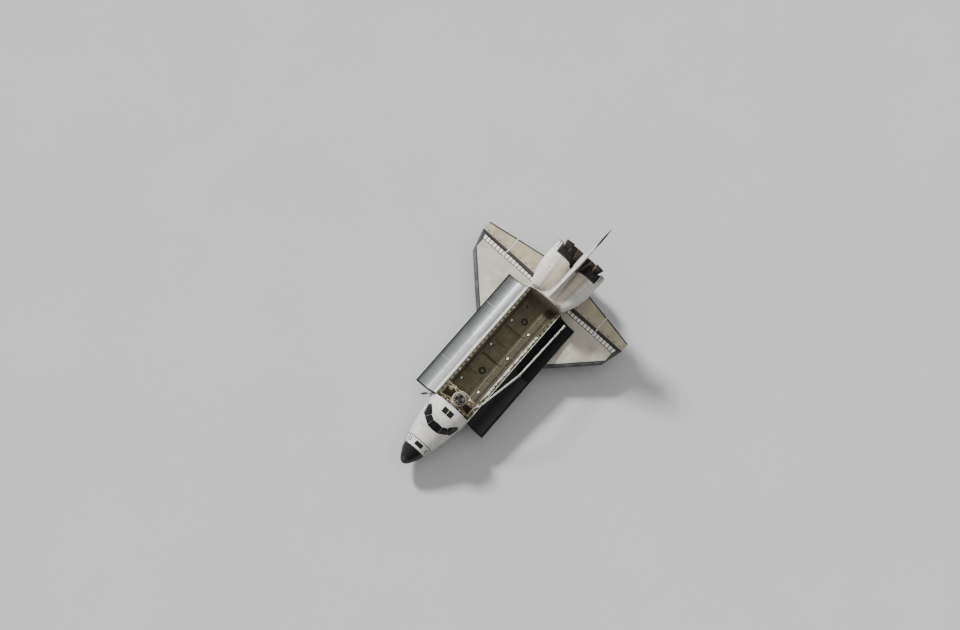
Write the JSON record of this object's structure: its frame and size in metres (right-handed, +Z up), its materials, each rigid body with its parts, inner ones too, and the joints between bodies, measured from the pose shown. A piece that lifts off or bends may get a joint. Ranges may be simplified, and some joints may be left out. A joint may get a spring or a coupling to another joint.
{
  "type": "space shuttle orbiter",
  "caption": "Winged spaceplane on its landing gear, payload bay doors open with radiators, a jointed arm, docking ring, engines and control surfaces.",
  "frame": {"origin": "centre of the bounding box on the ground under the wheels", "axes": "+X aft, +Y to starboard, +Z up from the ground; the craft sits nose-down on its gear"},
  "size_m": [36.3046, 23.622, 17.1111],
  "materials": {
    "glass": "dark coated thermal glass",
    "rubber": "matt tyre rubber",
    "nozzle_metal": "heat-stained alloy tube wall",
    "radiator_panel": "silvered film over metal, glossy",
    "carbon": "matt grey coated carbon",
    "bay_liner": "quilted woven liner",
    "cabin_trim": "painted cabin trim",
    "bare_metal": "machined metal, satin",
    "blanket": "quilted thermal blanket",
    "arm_skin": "white thermal blanket over tube",
    "dark_tile": "black glazed tiles",
    "white_felt": "off-white felt insulation",
    "white_tile": "white glazed tiles and blankets"
  },
  "bodies": {
    "root": {"nose_cap": "carbon", "forward_thruster_module": "white_tile", "forward_fuselage": "white_tile", "windshield": "glass", "overhead_windows": "glass", "flight_deck": "cabin_trim", "mid_fuselage": "white_tile", "bay_liner": "bay_liner", "sill_longeron_port": "bare_metal", "sill_longeron_starboard": "bare_metal", "docking_module": "blanket", "docking_ring": "bare_metal", "wing_port": "white_tile", "wing_edge_port": "carbon", "wing_starboard": "white_tile", "wing_edge_starboard": "carbon", "fin": "white_tile", "fin_tip": "white_tile", "manoeuvring_pod_port": "white_felt", "manoeuvring_pod_starboard": "white_felt", "aft_fuselage": "white_tile", "nose_gear_leg": "bare_metal", "main_gear_leg_port": "bare_metal", "main_gear_door_port": "dark_tile", "nose_gear_door_port": "dark_tile", "main_gear_leg_starboard": "bare_metal", "main_gear_door_starboard": "dark_tile", "nose_gear_door_starboard": "dark_tile"},
    "payload_door_port": {"payload_door_port": "white_felt"},
    "radiator_port": {"radiator_port": "radiator_panel"},
    "payload_door_starboard": {"payload_door_starboard": "white_felt"},
    "radiator_starboard": {"radiator_starboard": "radiator_panel"},
    "arm_foot": {"arm_foot": "arm_skin"},
    "arm_shoulder": {"arm_shoulder": "blanket"},
    "arm_upper": {"arm_upper": "arm_skin"},
    "arm_lower": {"arm_lower": "arm_skin"},
    "arm_wrist_pitch": {"arm_wrist_pitch": "arm_skin"},
    "arm_wrist_yaw": {"arm_wrist_yaw": "arm_skin"},
    "arm_hand": {"arm_hand": "blanket"},
    "dish_antenna": {"dish_antenna": "blanket"},
    "elevon_inboard_port": {"elevon_inboard_port": "dark_tile"},
    "elevon_outboard_port": {"elevon_outboard_port": "dark_tile"},
    "elevon_inboard_starboard": {"elevon_inboard_starboard": "dark_tile"},
    "elevon_outboard_starboard": {"elevon_outboard_starboard": "dark_tile"},
    "body_flap": {"body_flap": "dark_tile"},
    "rudder_core": {"rudder_core": "white_tile"},
    "rudder_panel_port": {"rudder_panel_port": "white_tile"},
    "rudder_panel_starboard": {"rudder_panel_starboard": "white_tile"},
    "main_engine_top": {"main_engine_top": "nozzle_metal"},
    "main_engine_port": {"main_engine_port": "nozzle_metal"},
    "main_engine_starboard": {"main_engine_starboard": "nozzle_metal"},
    "manoeuvring_engine_port": {"manoeuvring_engine_port": "nozzle_metal"},
    "manoeuvring_engine_starboard": {"manoeuvring_engine_starboard": "nozzle_metal"},
    "nose_gear_fork": {"nose_gear_fork": "bare_metal"},
    "nose_wheels": {"nose_wheels": "rubber"},
    "main_wheels_port": {"main_wheels_port": "rubber"},
    "main_wheels_starboard": {"main_wheels_starboard": "rubber"},
    "crew_hatch": {"crew_hatch": "white_tile"},
    "belly_door_port": {"belly_door_port": "dark_tile"},
    "belly_door_starboard": {"belly_door_starboard": "dark_tile"}
  },
  "joints": [
    {"name": "port_door", "type": "hinge", "parent": "root", "child": "payload_door_port", "pos_m": [-0.44648, -2.69, 5.89913], "axis": [-0.9978, 0, -0.0661], "range_deg": [0, 175.5]},
    {"name": "port_radiator", "type": "hinge", "parent": "payload_door_port", "child": "radiator_port", "pos_m": [-4.99664, -2.85859, 5.41811], "axis": [0.9978, 0, 0.0661], "range_deg": [-35.5, 0]},
    {"name": "starboard_door", "type": "hinge", "parent": "root", "child": "payload_door_starboard", "pos_m": [-0.44648, 2.69, 5.89913], "axis": [0.9978, 0, 0.0661], "range_deg": [0, 175.5]},
    {"name": "starboard_radiator", "type": "hinge", "parent": "payload_door_starboard", "child": "radiator_starboard", "pos_m": [-4.99664, 2.85859, 5.41811], "axis": [-0.9978, 0, -0.0661], "range_deg": [-35.5, 0]},
    {"name": "arm_roll", "type": "hinge", "parent": "root", "child": "arm_foot", "pos_m": [-7.05262, -2.324, 5.52081], "axis": [-0.9978, 0, -0.0661], "range_deg": [0, 31.36]},
    {"name": "arm_shoulder_yaw", "type": "hinge", "parent": "arm_foot", "child": "arm_shoulder", "pos_m": [-7.09298, -2.54009, 6.13038], "axis": [-0.0623, -0.3335, 0.9407], "range_deg": [-175.4, 184.6]},
    {"name": "arm_shoulder_pitch", "type": "hinge", "parent": "arm_shoulder", "child": "arm_upper", "pos_m": [-7.09298, -2.54009, 6.13038], "axis": [0.0581, 0.9397, 0.337], "range_deg": [-127.5, 19.5]},
    {"name": "arm_elbow", "type": "hinge", "parent": "arm_upper", "child": "arm_lower", "pos_m": [-1.13125, -3.64337, 8.17989], "axis": [-0.0581, -0.9397, -0.337], "range_deg": [-135.4, 27]},
    {"name": "arm_wrist_pitch", "type": "hinge", "parent": "arm_lower", "child": "arm_wrist_pitch", "pos_m": [5.90452, -3.88211, 7.63339], "axis": [0.0581, 0.9397, 0.337], "range_deg": [-120, 120]},
    {"name": "arm_wrist_yaw", "type": "hinge", "parent": "arm_wrist_pitch", "child": "arm_wrist_yaw", "pos_m": [6.35989, -3.89756, 7.59802], "axis": [0.0613, -0.3403, 0.9383], "range_deg": [-120, 120]},
    {"name": "arm_wrist_roll", "type": "hinge", "parent": "arm_wrist_yaw", "child": "arm_hand", "pos_m": [7.11917, -3.92332, 7.53905], "axis": [0.9964, -0.0338, -0.0774], "range_deg": [-180, 180]},
    {"name": "dish_swing", "type": "hinge", "parent": "root", "child": "dish_antenna", "pos_m": [-9.46713, 2.47, 5.59243], "axis": [0.0661, 0, -0.9978], "range_deg": [0, 155]},
    {"name": "elevon_inboard_port", "type": "hinge", "parent": "root", "child": "elevon_inboard_port", "pos_m": [11.07288, -5.31368, 3.77436], "axis": [0.0015, 0.9998, -0.022], "range_deg": [-35, 20]},
    {"name": "elevon_outboard_port", "type": "hinge", "parent": "root", "child": "elevon_outboard_port", "pos_m": [11.06659, -9.72312, 3.86947], "axis": [0.0014, 0.9998, -0.021], "range_deg": [-35, 20]},
    {"name": "elevon_inboard_starboard", "type": "hinge", "parent": "root", "child": "elevon_inboard_starboard", "pos_m": [11.07288, 5.31368, 3.77436], "axis": [-0.0015, 0.9998, 0.022], "range_deg": [-35, 20]},
    {"name": "elevon_outboard_starboard", "type": "hinge", "parent": "root", "child": "elevon_outboard_starboard", "pos_m": [11.06659, 9.72312, 3.86947], "axis": [-0.0014, 0.9998, 0.021], "range_deg": [-35, 20]},
    {"name": "body_flap", "type": "hinge", "parent": "root", "child": "body_flap", "pos_m": [14.77741, 0, 3.57117], "axis": [0, 1, 0], "range_deg": [-11.7, 22.55]},
    {"name": "rudder", "type": "hinge", "parent": "root", "child": "rudder_core", "pos_m": [15.43071, 0, 14.15625], "axis": [0.4716, 0, 0.8818], "range_deg": [-27.1, 27.1]},
    {"name": "speed_brake_port", "type": "hinge", "parent": "rudder_core", "child": "rudder_panel_port", "pos_m": [15.49258, -0.14764, 14.16035], "axis": [-0.4716, -0.0179, -0.8816], "range_deg": [0, 49.3]},
    {"name": "speed_brake_starboard", "type": "hinge", "parent": "rudder_core", "child": "rudder_panel_starboard", "pos_m": [15.49258, 0.14764, 14.16035], "axis": [0.4716, -0.0179, 0.8816], "range_deg": [0, 49.3]},
    {"name": "main_engine_top_pitch", "type": "hinge", "parent": "root", "child": "main_engine_top", "pos_m": [12.30873, 0, 7.40742], "axis": [0, 1, 0], "range_deg": [-10.5, 10.5]},
    {"name": "main_engine_port_pitch", "type": "hinge", "parent": "root", "child": "main_engine_port", "pos_m": [13.06523, -1.3462, 4.90177], "axis": [0, 1, 0], "range_deg": [-10.5, 10.5]},
    {"name": "main_engine_starboard_pitch", "type": "hinge", "parent": "root", "child": "main_engine_starboard", "pos_m": [13.06523, 1.3462, 4.90177], "axis": [0, 1, 0], "range_deg": [-10.5, 10.5]},
    {"name": "manoeuvring_engine_port_pitch", "type": "hinge", "parent": "root", "child": "manoeuvring_engine_port", "pos_m": [14.07665, -2.2352, 8.77182], "axis": [0, 1, 0], "range_deg": [-6, 6]},
    {"name": "manoeuvring_engine_starboard_pitch", "type": "hinge", "parent": "root", "child": "manoeuvring_engine_starboard", "pos_m": [14.07665, 2.2352, 8.77182], "axis": [0, 1, 0], "range_deg": [-6, 6]},
    {"name": "nose_gear_steering", "type": "hinge", "parent": "root", "child": "nose_gear_fork", "pos_m": [-14.30104, 0, 1.0028], "axis": [-0.0661, 0, 0.9978], "range_deg": [-9, 9]},
    {"name": "nose_wheel_spin", "type": "hinge", "parent": "nose_gear_fork", "child": "nose_wheels", "pos_m": [-14.26139, 0, 0.40412], "axis": [0, 1, 0], "continuous": true},
    {"name": "main_wheel_spin_port", "type": "hinge", "parent": "root", "child": "main_wheels_port", "pos_m": [5.83796, -3.4544, 0.56412], "axis": [0, 1, 0], "continuous": true},
    {"name": "main_wheel_spin_starboard", "type": "hinge", "parent": "root", "child": "main_wheels_starboard", "pos_m": [5.83796, 3.4544, 0.56412], "axis": [0, 1, 0], "continuous": true},
    {"name": "crew_hatch", "type": "hinge", "parent": "root", "child": "crew_hatch", "pos_m": [-11.14763, -2.53, 2.97166], "axis": [0.9978, 0, 0.0661], "range_deg": [0, 90]},
    {"name": "belly_door_port", "type": "hinge", "parent": "root", "child": "belly_door_port", "pos_m": [9.85923, -1.3034, 2.88155], "axis": [0.9978, 0, 0.0661], "range_deg": [0, 175]},
    {"name": "belly_door_starboard", "type": "hinge", "parent": "root", "child": "belly_door_starboard", "pos_m": [9.85923, 1.3034, 2.88155], "axis": [-0.9978, 0, -0.0661], "range_deg": [0, 175]}
  ],
  "couplings": [
    {"joint": "arm_roll", "follows": "port_door", "ratio": 0.17869},
    {"joint": "arm_shoulder_yaw", "follows": "port_door", "ratio": 0.026211},
    {"joint": "arm_shoulder_pitch", "follows": "port_door", "ratio": 0.099715},
    {"joint": "arm_elbow", "follows": "port_door", "ratio": 0.14017}
  ]
}
